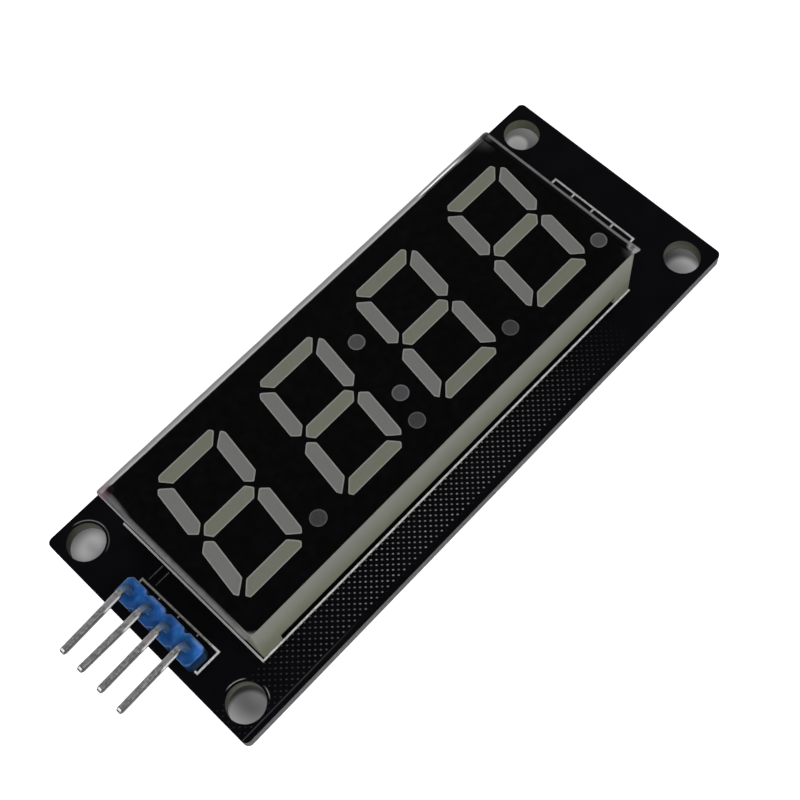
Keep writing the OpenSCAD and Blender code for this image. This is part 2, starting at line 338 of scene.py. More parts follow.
def board_finish():
    f = Finish("black_solder_mask", grey(8), 0.32, gloss=0.1)
    mottled = f.noise(3.5, 3.0)
    mask = f.mix(mottled, tone(2, 2, 5), tone(5, 5, 9))
    faces = f.normal()
    top = f.step(faces[2], 0.5, 0.9)
    wall = f.step(f.size(faces[2]), 0.5, 0.3)
    # hatched copper under the mask: its small openings are painted light grey, a painted highlight for the
    # glints they catch
    cell = 0.7071 / HATCH_PITCH
    u = f.times(f.plus(f.x, f.y), cell)
    v = f.plus(f.times(f.minus(f.x, f.y), cell), 0.5)
    off_u = f.times(f.minus(f.maths("FRACT", u), 0.5), 1.4)
    off_v = f.minus(f.maths("FRACT", v), 0.5)
    dot = f.step(f.away(off_u, off_v), 0.06, 0.285, 1.0, 0.0)
    lower = f.inside(f.y, -13.15, -9.6, 0.08)
    upper = f.inside(f.y, 10.6, 13.1, 0.1)
    upper = f.times(upper, f.step(f.x, -26.0, -19.0))
    ends = f.times(f.step(f.x, -31.0, -10.0, 0.05, 1.0), f.step(f.x, -2.0, 22.0, 1.0, 0.0))
    field = f.times(f.times(f.plus(lower, upper), ends), top)
    patchy = f.step(f.noise(0.5, 1.0), 0.3, 0.65, 0.5, 1.0)
    shine = f.times(f.times(dot, field), patchy)
    mask = f.mix(shine, mask, grey(156))
    # edge of the copper pour, faint along one corner
    pour = f.times(f.inside(f.y, -13.26, -13.16, 0.05), f.step(f.x, -17.0, -25.0, 0.0, 0.5))
    mask = f.mix(f.times(pour, top), mask, tone(84, 82, 90))
    # bare ring round the holes beside the pin strip, painted only where it catches the light as a painted
    # highlight, and the lining of all four, painted darker towards its top as painted shade
    lining = 0.0
    for hole in HOLES:
        across, along = f.minus(f.x, hole[0]), f.minus(f.y, hole[1])
        r = f.away(across, along)
        lining = f.plus(lining, f.step(r, 2.2, 2.0))
        turn = f.maths("ARCTAN2", along, across)
        for first, last, strength in RING_GLINT_ARCS.get(hole, ()):
            ring = f.times(f.inside(r, 2.12, 2.2, 0.04), f.inside(turn, first, last, 0.15))
            mask = f.mix(f.times(f.times(ring, top), strength), mask, grey(150))
    # cut laminate on the edges and in the holes
    layers = f.noise(0.12, 2.0, stretch=(0.15, 0.15, 1.0))
    fibre = f.noise(0.35, 3.0)
    cut = f.mix(layers, tone(78, 78, 78), tone(104, 104, 104))
    cut = f.mix(f.step(fibre, 0.5, 0.8), cut, tone(118, 120, 112))
    # painted shade: the cut faces that point along x, the board's ends, are darker
    cut = f.mix(f.step(f.size(faces[0]), 0.5, 0.9, 0.0, 0.55), cut, grey(14))
    # painted shade: the lining darkens towards the top of the hole
    bored = f.mix(f.step(f.z, 0.1, 1.45), tone(86, 87, 79), tone(70, 71, 62))
    bored = f.mix(f.times(layers, 0.4), bored, tone(110, 112, 96))
    # painted light: the lining of the hole at the far corner is lighter
    far_hole_light = f.times(f.step(f.x, 20.0, 22.0), f.step(f.y, 4.0, 6.0))
    bored = f.mix(f.times(far_hole_light, 0.5), bored, tone(138, 142, 120))
    cut = f.mix(f.times(lining, wall), cut, bored)
    rim = f.most(f.step(f.z, 0.09, 0.02), f.step(f.z, 1.49, 1.57))
    cut = f.mix(f.times(rim, 0.75), cut, grey(26))
    f.colour(f.mix(wall, mask, cut))
    f.rough(f.mix_value(wall, f.step(mottled, 0.3, 0.7, 0.26, 0.36), 0.75))
    f.relief(f.noise(0.45, 3.0), 0.01, 0.3)
    return f.material


def housing_finish():
    f = Finish("grey_housing_black_face", tone(116, 117, 108), 0.5, gloss=0.35)
    clouds = f.noise(2.5, 3.0)
    speck = f.noise(0.25, 2.0)
    plastic = f.mix(f.step(f.z, FACE - 6.5, FACE - 1.0), tone(118, 121, 104), tone(124, 125, 118))
    plastic = f.mix(f.step(clouds, 0.35, 0.75, 0.0, 0.35), plastic, tone(132, 134, 116))
    plastic = f.mix(f.step(speck, 0.62, 0.72, 0.0, 0.25), plastic, grey(92))
    # black ink on the front face; at one corner it stops short in a soft round
    ragged = f.times(f.minus(f.noise(0.6, 3.0), 0.5), 0.4)
    corner, beyond = 2.0, 0.3
    left = f.minus(f.x, DISPLAY.x - HALF_L - beyond)
    front = f.minus(f.y, DISPLAY.y - HALF_W - beyond)
    reach = f.away(f.most(f.minus(corner, left), 0.0),
                   f.most(f.minus(corner, front), 0.0))
    printed = f.step(f.plus(reach, ragged), corner - 0.1, corner + 0.3, 1.0, 0.0)
    printed = f.times(printed, f.step(f.z, FACE - 0.12, FACE - 0.07))
    # the same black, in clouds, over the upper part of the two end walls, away from the front
    faces = f.normal()
    end = f.step(f.size(faces[0]), 0.7, 0.95)
    end_walls_dark = f.step(f.plus(f.z, f.times(clouds, 0.8)), FACE - 6.0, FACE - 0.7)
    end_walls_dark = f.times(f.times(end, end_walls_dark), f.step(front, 0.8, 3.4))
    cover = f.most(printed, end_walls_dark)
    ink = f.mix(f.step(f.noise(1.6, 4.0), 0.4, 0.8), tone(1, 1, 2), tone(4, 4, 6))
    f.colour(f.mix(cover, plastic, ink))
    f.rough(f.mix_value(cover, 0.55, f.step(f.noise(0.8, 3.0), 0.3, 0.7, 0.36, 0.46)))
    f.feed(f.shader.inputs["Specular IOR Level"], f.mix_value(cover, 0.35, 0.06))
    grain = f.plus(f.noise(0.09, 2.0), f.times(clouds, 0.6))
    f.relief(grain, 0.012, 0.35)
    return f.material


def window_finish(name, middle, edge, warm, grain_mix=0.3):
    f = Finish(name, middle, 0.42, gloss=0.35)
    rim = f.add("Attribute", attribute_name="rim").outputs["Fac"]
    warmth = f.add("Attribute", attribute_name="warm").outputs["Fac"]
    clouds = f.noise(2.2, 2.0)
    grain = f.noise(0.16, 3.0)
    body = f.mix(f.times(warmth, f.step(clouds, 0.25, 0.6, 0.6, 1.0)), middle, warm)
    ragged = f.plus(rim, f.times(f.minus(grain, 0.5), 0.5))
    body = f.mix(f.step(ragged, 0.2, 1.0), body, edge)
    body = f.mix(f.step(grain, 0.52, 0.78, 0.0, grain_mix), body, grey(80))
    f.colour(body)
    f.shader.inputs["Subsurface Weight"].default_value = 0.12
    f.shader.inputs["Subsurface Radius"].default_value = (0.0006, 0.0006, 0.0005)
    f.shader.inputs["Subsurface Scale"].default_value = 0.4
    f.relief(f.plus(grain, f.times(clouds, 0.5)), 0.01, 0.3)
    return f.material


def film_finish():
    """Clear film: hardly there over the face, hazy along the hem that hangs over three edges"""
    f = Finish("clear_film", grey(116), 0.34, gloss=0.08)
    left = f.minus(f.x, FILM_LOW.x)
    right = f.minus(FILM_HIGH.x, f.x)
    front = f.minus(f.y, FILM_LOW.y)
    back = f.minus(FILM_HIGH.y, f.y)
    streak = f.times(f.minus(f.noise(0.7, 3.0), 0.5), 0.08)
    # upper edge: milky, with a clear stretch near one end
    over = f.plus(f.minus(f.minus(f.y, DISPLAY.y), HALF_W), streak)
    clear = f.times(f.inside(f.x, 14.6, 20.2, 0.8), f.step(back, 0.16, 0.26))
    hem = f.times(f.step(over, -0.06, 0.06), f.step(f.noise(3.5, 2.0), 0.25, 0.6, 0.8, 0.92))
    hem = f.times(hem, f.minus(1.0, f.times(clear, 0.9)))
    # end above the pin strip: thickens outwards
    over_left = f.minus(DISPLAY.x - HALF_L, f.x)
    hem_left = f.times(f.step(f.plus(over_left, streak), -0.1, 0.44), 0.9)
    wide = f.times(f.step(f.minus(f.plus(over_left, streak), f.times(back, 0.1)), -0.6, -0.3),
                 f.step(back, 5.0, 2.0, 0.0, 0.5))
    hem_left = f.most(hem_left, wide)
    # far end: dark fold with a pale cut edge
    over_right = f.minus(f.minus(f.x, DISPLAY.x), HALF_L)
    fold = f.times(f.step(over_right, -0.45, -0.35, 0.0, 0.96), f.step(right, 0.03, 0.1))
    pale = f.step(right, 0.38, 0.26)
    # painted glare near two corners, a painted reflection on the film, and the loose corner itself
    glare_back = f.step(f.away(f.most(right, 0.0), back), 2.8, 0.8)
    glare_front = f.step(f.away(f.most(right, 0.0), front), 1.9, 0.4)
    glare = f.times(f.most(glare_back, glare_front), f.step(f.noise(1.3, 3.0), 0.3, 0.7, 0.08, 0.28))
    flap = f.step(f.away(right, front), 1.15, 0.75)
    lip = f.step(f.maths("MINIMUM", right, front), 0.17, 0.05)
    smear = f.step(f.noise(0.9, 3.0, stretch=(0.4, 1.0, 1.0)), 0.68, 0.85, 0.0, 0.02)
    alpha = f.most(f.most(hem, hem_left), f.most(fold, glare))
    loose = f.times(flap, f.mix_value(lip, 0.36, 0.6))
    alpha = f.most(f.most(alpha, smear), loose)
    shade = f.mix(f.step(f.noise(0.9, 2.0), 0.3, 0.7), grey(110), grey(124))
    hem_tone = f.mix(f.step(f.plus(over, streak), 0.12, 0.3), grey(180), grey(150))
    thinner = f.times(f.step(right, 5.0, 2.4, 0.0, 0.9), f.step(back, 0.14, 0.24))
    hem_tone = f.mix(thinner, hem_tone, grey(48))
    shade = f.mix(f.step(over, -0.06, 0.06), shade, hem_tone)
    dark = f.times(f.step(over_right, -0.65, -0.55), f.minus(1.0, pale))
    dark = f.times(dark, f.step(f.away(right, back), 0.4, 1.6, 0.6, 1.0))
    shade = f.mix(dark, shade, grey(6))
    patches = f.step(f.noise(0.5, 2.0), 0.4, 0.62)
    shade = f.mix(flap, shade, f.mix(patches, grey(92), grey(138)))
    shade = f.mix(f.times(lip, flap), shade, grey(150))
    # cut edge of the sheet at the other end, bright outside and dark just inside
    upper_left = f.step(f.y, 4.0, 8.0)
    shade = f.mix(f.times(f.inside(left, 0.13, 0.3, 0.06), f.times(upper_left, 0.6)), shade, grey(62))
    shade = f.mix(f.times(f.step(left, 0.13, 0.05), upper_left), shade, grey(160))
    pink = f.times(f.step(f.plus(left, back), 2.2, 0.5), 0.6)
    shade = f.mix(pink, shade, tone(142, 112, 120))
    smudge = f.step(f.away(f.minus(left, 0.95), f.minus(back, 0.85)), 0.75, 0.3, 0.0, 0.45)
    stain = f.step(f.away(f.minus(left, 1.1), f.minus(back, 0.82)), 0.55, 0.2)
    shade = f.mix(smudge, shade, tone(104, 60, 74))
    f.colour(f.mix(f.times(stain, 0.92), shade, tone(34, 2, 8)))
    alpha = f.most(alpha, f.step(stain, 0.6, 1.0, 0.0, 0.3))
    f.feed(f.shader.inputs["Alpha"], f.most(alpha, 0.0015))
    return f.material


def metal_finish(name, light, dark, rough, grain=None):
    f = Finish(name, light, rough, metal=1.0)
    clouds = f.noise(0.7, 3.0)
    streaks = f.noise(0.12, 3.0, stretch=grain or (1.0, 1.0, 1.0))
    f.colour(f.mix(f.step(f.times(f.plus(clouds, streaks), 0.5), 0.35, 0.65), dark, light))
    f.rough(f.step(streaks, 0.3, 0.7, rough * 0.8, rough * 1.3))
    f.relief(streaks, 0.006, 0.5)
    return f.material


def plain_finish(name, first, second, rough, size, bump, gloss=0.5):
    """An even finish with faint clouds and a fine grain"""
    f = Finish(name, first, rough, gloss=gloss)
    f.colour(f.mix(f.step(f.noise(size, 4.0), 0.35, 0.7), first, second))
    f.rough(f.step(f.noise(size * 0.5, 2.0), 0.3, 0.7, rough * 0.9, min(1.0, rough * 1.12)))
    f.relief(f.noise(size * 0.12, 3.0), bump, 0.5)
    return f.material


def strip_finish():
    f = Finish("blue_strip", tone(40, 88, 150), 0.34, gloss=0.35)
    flow = f.noise(0.8, 3.0)
    body = f.mix(f.step(flow, 0.3, 0.7), tone(12, 84, 164), tone(54, 114, 196))
    teal = f.step(f.noise(0.7, 3.0, stretch=(1.6, 0.6, 1.0)), 0.5, 0.7, 0.0, 0.7)
    body = f.mix(teal, body, tone(20, 108, 146))
    # painted light and shade: paler along the moulded edges that face away, a painted highlight, and darker
    # round each pin and down the sides, painted shade
    faces = f.normal()
    edge = f.times(f.step(faces[2], 0.96, 0.8), f.step(faces[2], 0.1, 0.35))
    away_side = f.step(f.plus(faces[0], faces[1]), 0.0, 0.4)
    body = f.mix(f.times(f.times(edge, away_side), 0.8), body, tone(150, 166, 216))
    beat = f.minus(f.maths("FRACT", f.maths("DIVIDE", f.minus(f.y, STRIP.y), PITCH)), 0.5)
    entry = f.away(f.minus(f.x, STRIP.x), f.times(beat, PITCH))
    body = f.mix(f.step(entry, 0.95, 0.4, 0.0, 0.6), body, tone(6, 64, 130))
    # painted shade from the pins above, over the half of the top towards the board's end
    deep = f.step(f.plus(f.minus(f.x, STRIP.x), f.minus(flow, 0.5)), 0.45, -0.55, 0.0, 0.6)
    body = f.mix(deep, body, tone(4, 50, 96))
    # painted highlight along the side of the top that faces the display
    lit_band = f.times(f.step(f.minus(f.x, STRIP.x), 0.7, 1.0), f.step(flow, 0.35, 0.6, 0.1, 0.5))
    body = f.mix(lit_band, body, tone(124, 154, 212))
    # painted shade on the sides
    f.colour(f.mix(f.step(faces[2], 0.3, 0.0, 0.0, 0.88), body, tone(12, 30, 50)))
    f.shader.inputs["Subsurface Weight"].default_value = 0.1
    f.shader.inputs["Subsurface Radius"].default_value = (0.0002, 0.0004, 0.001)
    f.shader.inputs["Subsurface Scale"].default_value = 0.5
    f.rough(f.step(flow, 0.3, 0.7, 0.28, 0.42))
    f.feed(f.shader.inputs["Specular IOR Level"], f.step(faces[2], 0.0, 0.4, 0.05, 0.35))
    f.relief(f.noise(0.2, 2.0), 0.01, 0.4)
    return f.material


def pin_finish():
    """Tinned square wire: speckled on the flats, with painted shade along its edges and painted highlights and
    reflections on it
    """
    f = Finish("tinned_wire", grey(190), 0.4, metal=1.0)
    speck = f.noise(0.2, 3.0)
    body = f.mix(f.step(speck, 0.3, 0.7), grey(150), grey(200))
    # painted highlight on the level part near the bend
    body = f.mix(f.inside(f.x, -33.3, -32.4, 0.25), body, tone(196, 190, 194))
    faces = f.normal()
    # painted shade along both edges of the wire
    aside = f.size(f.add("Attribute", attribute_name="aside").outputs["Fac"])
    body = f.mix(f.step(aside, 0.22, 0.3, 0.0, 0.85), body, grey(64))
    # painted highlight on the cut end, with a ring of painted shade round it
    body = f.mix(f.step(f.x, PIN_END + 0.47, PIN_END + 0.39, 0.0, 0.7), body, grey(60))
    cut = f.times(f.inside(f.x, PIN_END + 0.15, PIN_END + 0.35, 0.03), f.step(aside, 0.22, 0.16))
    body = f.mix(cut, body, grey(250))
    # painted reflections: the flank by the board is painted white and the rest of the flank dark; the bend and
    # the inner side of the upright are painted in the strip's blue
    flank = f.step(f.size(faces[1]), 0.5, 0.9)
    near = f.times(f.inside(f.x, -33.9, -32.0, 0.3), f.step(f.z, 5.45, 5.6))
    body = f.mix(flank, body, f.mix(near, grey(56), grey(250)))
    above = f.step(f.z, 3.6, 4.2)
    bend = f.times(above, f.step(f.x, -31.85, -31.4))
    inner = f.most(f.times(above, f.step(faces[0], 0.1, 0.5)), bend)
    f.colour(f.mix(f.times(inner, 0.85), body, tone(58, 94, 134)))
    f.rough(f.step(speck, 0.3, 0.7, 0.3, 0.46))
    # where light is painted, the metal is turned down so that the painted colour shows
    painted_spots = f.most(f.most(f.times(flank, near), inner), cut)
    f.feed(f.shader.inputs["Metallic"], f.mix_value(painted_spots, 1.0, 0.1))
    f.relief(speck, 0.006, 0.4)
    return f.material


def print_finish():
    f = Finish("white_print", grey(186), 0.6, gloss=0.3)
    white = f.mix(f.step(f.noise(0.35, 3.0), 0.35, 0.65), tone(184, 184, 182), tone(218, 218, 216))
    f.colour(f.mix(f.inside(f.x, -27.3, -26.85, 0.05), white, grey(176)))
    f.relief(f.noise(0.06, 2.0), 0.01, 0.5)
    return f.material


# ------------------------------------------------------------------ the board

def dress_board():
    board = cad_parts["circuit_board"]
    board.data.materials.clear()
    board.data.materials.append(board_finish())


def screen_print(white):
    low, high = BOARD_TOP, BOARD_TOP + PRINT
    width = 0.21
    bm = bmesh.new()
    # outline of the display, where the housing leaves it in sight
    left, right, front, back, line = -27.11, 24.17, -9.54, 9.8, 0.2
    join(bm, slab([(left, front), (right, front), (right, front + line), (left, front + line)], low, high))
    join(bm, slab([(left, front + line), (left + line, front + line), (left + line, back), (left, back)],
                  low, high))
    # four-cell frames for the two pin strips
    for x0, x1, y0, y1, drift, rungs in ((-31.87, -29.2, -5.86, 4.4, 0.2, False),
                                         (26.18, 28.93, -5.97, 4.65, 0.0, True)):
        for x in (x0, x1):
            join(bm, bar((x, y0), (x - drift, y1), width, low, high))
        for k in range(5):
            y, aside = y0 + k * (y1 - y0) / 4, drift * k / 4
            if k in (0, 4) or rungs:
                join(bm, bar((x0 + width - aside, y), (x1 - width - aside, y), width, low, high))
            else:
                join(bm, bar((x1 - width - aside, y), (x1 - width - 0.06 - aside, y), 0.14, low, high))
    finish_piece("front_screen_print", bm, white)
    bm = bmesh.new()
    low, high = -PRINT, 0.0
    # frames round the chip, the two pin strips, the capacitors and the resistors
    frames = [(-8.0, -2.9, 5.5, 3.6), (26.3, -5.9, 29.0, 4.6), (-32.5, -5.75, -29.7, 4.75)]
    frames += [(x - 0.85, y - 1.3, x + 0.85, y + 1.3) for x, y in CAPACITORS + RESISTORS]
    for x0, y0, x1, y1 in frames:
        corners = [(x0, y0), (x1, y0), (x1, y1), (x0, y1)]
        for first, second in zip(corners, corners[1:] + corners[:1]):
            join(bm, bar(first, second, 0.15, low, high))
    join(bm, washer((-8.9, 5.2), 0.0001, 0.3, low, high, 20))
    finish_piece("back_screen_print", bm, white)


def pads_and_tracks(tin, mask):
    bm = bmesh.new()
    for x, y in SPARE_ROW:
        join(bm, washer((x, y), 0.5, 0.86, -PAD, 0.0))
        join(bm, washer((x, y), 0.46, 0.5, -0.03, BOARD_TOP - 0.1))
    for y in PIN_ROWS_Y:
        join(bm, washer((STRIP.x, y), 0.5, 0.86, -PAD, 0.0))
    for x, y in DISPLAY_PINS:
        join(bm, washer((x, y), 0.45, 0.82, -PAD, 0.0))
        join(bm, washer((x, y), 0.45, 0.72, BOARD_TOP, BOARD_TOP + PAD))
    finish_piece("ring_pads", bm, tin)

    bm = bmesh.new()
    low, high = BOARD_TOP, BOARD_TOP + TRACK
    for y in (3.93, 3.03):
        join(bm, bar((-28.95, y), (-27.35, y), 0.12, low, high))
    worn = plain_finish("worn_mask", grey(64), grey(84), 0.4, 0.4, 0.01)
    finish_piece("front_tracks", bm, worn)

    bm = bmesh.new()
    low, high = -TRACK, 0.0
    for side in (-1, 1):
        out = DISPLAY.y + side * 5.35
        for k, pin in zip((1, 2, 4, 5, 7, 8), range(6)):
            pin_x = DISPLAY.x + (pin - 2.5) * PITCH
            pin_y = DISPLAY.y + side * (3 * PITCH - 0.6)
            bend = pin_y - side * abs(LEADS_X[k] - pin_x)
            join(bm, bar((LEADS_X[k], out), (LEADS_X[k], bend), 0.3, low, high))
            join(bm, bar((LEADS_X[k], bend), (pin_x, pin_y), 0.3, low, high))
        # supply and signal tracks out to the pin strips
        for k, run_y in ((0, 5.9), (3, 6.5)):
            y = DISPLAY.y + side * run_y
            stop = -20.5 - k
            join(bm, bar((LEADS_X[k], out), (LEADS_X[k], y), 0.35, low, high))
            join(bm, bar((LEADS_X[k], y), (stop, y), 0.35, low, high))
            target = PIN_ROWS_Y[0 if k else 1] if side > 0 else PIN_ROWS_Y[3 if k else 2]
            reach = abs(y - target)
            join(bm, bar((stop, y), (stop - reach, target), 0.35, low, high))
            join(bm, bar((stop - reach, target), (STRIP.x + 0.8, target), 0.35, low, high))
        y = DISPLAY.y + side * 6.2
        join(bm, bar((LEADS_X[9], out), (LEADS_X[9], y), 0.35, low, high))
        join(bm, bar((LEADS_X[9], y), (18.0, y), 0.35, low, high))
        target = SPARE_ROW[3 if side > 0 else 0][1]
        reach = abs(y - target)
        join(bm, bar((18.0, y), (18.0 + reach, target), 0.35, low, high))
        join(bm, bar((18.0 + reach, target), (SPARE.x - 0.8, target), 0.35, low, high))
    for x, y in ((-13.2, 3.2), (-15.1, -3.4), (12.6, 4.4), (14.2, -3.1), (-24.6, 8.4), (21.4, 8.0)):
        join(bm, washer((x, y), 0.16, 0.36, low, high, 20))
    finish_piece("back_tracks", bm, mask)


# ------------------------------------------------------------------ the display

SEG_A = [(-3.42, 6.70), (-2.46, 5.64), (2.46, 5.64), (3.42, 6.70), (3.10, 7.15), (-3.10, 7.15)]
SEG_B = [(2.64, 5.30), (2.64, 1.06), (3.38, 0.37), (4.16, 1.08), (4.16, 5.84), (3.84, 6.30)]
SEG_G = [(-3.09, 0.0), (-2.48, -0.76), (2.48, -0.76), (3.09, 0.0), (2.48, 0.76), (-2.48, 0.76)]


def mirrored(outline, sx, sy):
    return [(u * sx, v * sy) for u, v in outline]


# inset from the outline, height, and how much of the pale rim shows
WINDOW_STEPS = [(0.0, CAVITY_FLOOR, 1.0), (0.0, FACE - 0.03, 1.0), (0.025, FACE - 0.014, 1.0),
                (0.1, FACE - 0.02, 0.7), (0.2, FACE - 0.03, 0.0)]

SEGMENTS = [SEG_A, mirrored(SEG_A, 1, -1), SEG_G]
SEGMENTS += [mirrored(SEG_B, sx, sy) for sx in (-1, 1) for sy in (-1, 1)]


def shrunk(outline, inset):
    """The outline of a convex shape, moved inwards"""
    points = [Vector(p) for p in outline]
    moved = []
    for before, here, after in zip(points[-1:] + points[:-1], points, points[1:] + points[:1]):
        a, b = (here - before).normalized(), (after - here).normalized()
        normal_a, normal_b = Vector((-a.y, a.x)), Vector((-b.y, b.x))
        moved.append(here + (normal_a + normal_b) * inset / (1 + normal_a.dot(normal_b)))
    return moved


def rounded(points, radius, steps=4):
    """The same outline with its corners cut round"""
    out = []
    for before, here, after in zip(points[-1:] + points[:-1], points, points[1:] + points[:1]):
        start = here + (before - here).normalized() * radius
        end = here + (after - here).normalized() * radius
        for k in range(steps + 1):
            t = k / steps
            out.append(start * (1 - t) ** 2 + here * 2 * t * (1 - t) + end * t ** 2)
    return out


def window(bm, outline, corner, warmth=0.5):
    """A cast resin window: a straight plug, eased at the rim, with a shallow dip where it shrank"""
    part = bmesh.new()
    rim = part.verts.layers.float.new("rim")
    warm = part.verts.layers.float.new("warm")
    area = sum(a[0] * b[1] - b[0] * a[1] for a, b in zip(outline, outline[1:] + outline[:1]))
    if area < 0:
        outline = outline[::-1]
    loops = []
    for inset, z, level in WINDOW_STEPS:
        points = rounded(shrunk(outline, inset), max(corner - inset * 0.5, 0.05)) if corner \
            else shrunk(outline, inset)
        verts = [part.verts.new((x, y, z)) for x, y in points]
        for vert in verts:
            vert[rim] = level
            vert[warm] = warmth
        loops.append([part.edges.new(pair) for pair in zip(verts, verts[1:] + verts[:1])])
        if len(loops) in (1, len(WINDOW_STEPS)):
            part.faces.new(verts)
    for first, second in zip(loops, loops[1:]):
        bmesh.ops.bridge_loops(part, edges=first + second)
    join(bm, outward(part))


def circle_outline(centre, radius, count=32):
    bm = bmesh.new()
    made = bmesh.ops.create_circle(bm, cap_ends=False, radius=radius, segments=count,
                                   matrix=Matrix.Translation((*centre, 0)))
    points = [(v.co.x, v.co.y) for v in made["verts"]]
    bm.free()
    return points


def empty_windows():
    bm = bmesh.new()
    bm.verts.layers.float.new("rim")
    bm.verts.layers.float.new("warm")
    return bm


def windows(cloudy, dim, dim_pale):
    for k, x in enumerate(DIGITS):
        bm = empty_windows()
        for number, outline in enumerate(SEGMENTS):
            lying = number < 3
            window(bm, [(x + u + v * LEAN, DISPLAY.y + v) for u, v in outline], 0.2, 1.0 if lying else 0.1)
        finish_piece(f"segment_windows_{k + 1}", bm, cloudy, (f"digit_windows_{k + 1}",))
        bm = empty_windows()
        window(bm, circle_outline((x + DECIMAL_DOT[0], DISPLAY.y + DECIMAL_DOT[1]), DOT_RADIUS), 0.0)
        finish_piece(f"decimal_dot_{k + 1}", bm, dim_pale if k == 3 else dim)
    bm = empty_windows()
    for s in (-1, 1):
        rise = s * COLON_RISE
        window(bm, circle_outline((DISPLAY.x + rise * LEAN, DISPLAY.y + rise), DOT_RADIUS), 0.0)
    finish_piece("colon_dots", bm, dim_pale, ("colon_windows",))


def housing():
    """The moulded shell with its outer edges rounded as a mould leaves them"""
    bm = copy_of("display_housing")
    planes = ((0, DISPLAY.x - HALF_L), (0, DISPLAY.x + HALF_L), (1, DISPLAY.y - HALF_W),
              (1, DISPLAY.y + HALF_W), (2, FACE))

    def outer(edge):
        """Whether two outer planes of the shell meet here"""
        a, b = (v.co for v in edge.verts)
        return sum(abs(a[axis] - at) < 0.01 and abs(b[axis] - at) < 0.01 for axis, at in planes) >= 2

    def upright(edge):
        a, b = (v.co for v in edge.verts)
        return outer(edge) and abs(a.z - b.z) > 1.0

    ease(bm, 0.14, 3, upright)
    ease(bm, 0.07, 2, outer)
    finish_piece("display_shell", bm, housing_finish(), ("display_housing",))


def film():
    """Protective film: a thin sheet with a wavy hem and one lifted corner"""
    low, high = FILM_LOW, FILM_HIGH
    bm = bmesh.new()
    across, deep = 130, 52
    bmesh.ops.create_grid(bm, x_segments=across, y_segments=deep, size=0.5)
    for vert in bm.verts:
        x = low.x + (vert.co.x + 0.5) * (high.x - low.x)
        y = low.y + (vert.co.y + 0.5) * (high.y - low.y)
        over = max(DISPLAY.x - HALF_L - x, x - DISPLAY.x - HALF_L, y - DISPLAY.y - HALF_W, 0.0)
        wave = 0.5 + 0.5 * math.sin(x * 1.3 + 0.7) * math.sin(x * 0.37 + y * 0.9 + 1.1)
        ripple = 0.5 + 0.5 * math.sin(x * 0.5 + y * 0.35)
        height = FACE + 0.012 + 0.012 * ripple + over * 0.09 * wave
        # the corner nearest the spare pin row has come unstuck
        loose = max(0.0, 1.0 - math.hypot(high.x - x, y - low.y) / 3.2)
        height += 0.22 * loose * loose
        vert.co = (x, y - 0.5 * loose ** 3, height)
    round_corners(bm, [v for v in bm.verts if v.is_boundary and len(v.link_edges) == 2], 0.3, 4)
    bmesh.ops.solidify(bm, geom=list(bm.faces), thickness=FILM_THICK)
    outward(bm)
    finish_piece("protective_sheet", bm, film_finish(), ("protective_film",), smooth=True)


# ------------------------------------------------------------------ pin strip

def pin_strip(blue):
    half, cut = 1.2, 0.36
    side = []
    for y in reversed(PIN_ROWS_Y):
        side += [(half - cut, y - PITCH / 2), (half, y - PITCH / 2 + cut), (half, y + PITCH / 2 - cut)]
    side.append((half - cut, PIN_ROWS_Y[0] + PITCH / 2))
    outline = [(STRIP.x + x, y) for x, y in side] + [(STRIP.x - x, y) for x, y in reversed(side)]
    bm = slab(outline, BOARD_TOP, BOARD_TOP + 2.5)
    ease(bm, 0.13, 3)
    # low collar round each pin
    for y in PIN_ROWS_Y:
        join(bm, washer((STRIP.x, y), 0.46, 0.58, BOARD_TOP + 2.44, BOARD_TOP + 2.53, 24))
    finish_piece("header_blocks", bm, blue, ("header_strip",))


def longer(bm, face):
    """Extrudes an end face and drops the old one; gives the new face and its corners"""
    made = bmesh.ops.extrude_face_region(bm, geom=[face])
    if face.is_valid:
        bmesh.ops.delete(bm, geom=[face], context="FACES_ONLY")
    return next(f for f in made["geom"] if isinstance(f, bmesh.types.BMFace)), corners_of(made)


